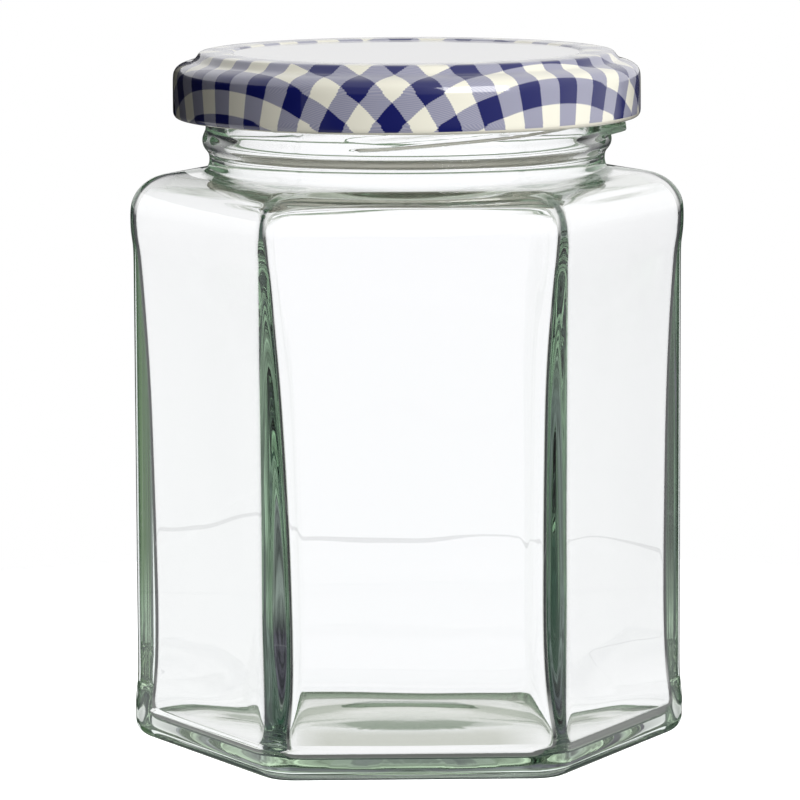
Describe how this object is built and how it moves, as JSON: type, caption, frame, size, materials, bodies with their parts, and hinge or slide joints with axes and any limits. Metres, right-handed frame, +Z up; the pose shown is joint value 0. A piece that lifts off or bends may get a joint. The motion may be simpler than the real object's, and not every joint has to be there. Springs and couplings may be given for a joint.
{
  "type": "hexagonal glass jar",
  "caption": "Clear hexagonal glass preserving jar with a round screw neck and a low metal twist cap printed with gingham check, for jam, honey or chutney.",
  "frame": {"origin": "centre of the base, on the plane that the jar stands on", "axes": "+Z up through the neck and the cap, -Y out of the front flat side, +X through the corner on the right"},
  "size_m": [0.0784, 0.0694, 0.0979],
  "materials": {
    "glass": "clear soda-lime glass, greenish where thick",
    "printed_tin": "gloss lacquer over a printed check",
    "seal": "smooth sealing compound"
  },
  "bodies": {
    "root": {"jar": "glass", "lid": "printed_tin", "lid_seal": "seal"}
  },
  "joints": []
}
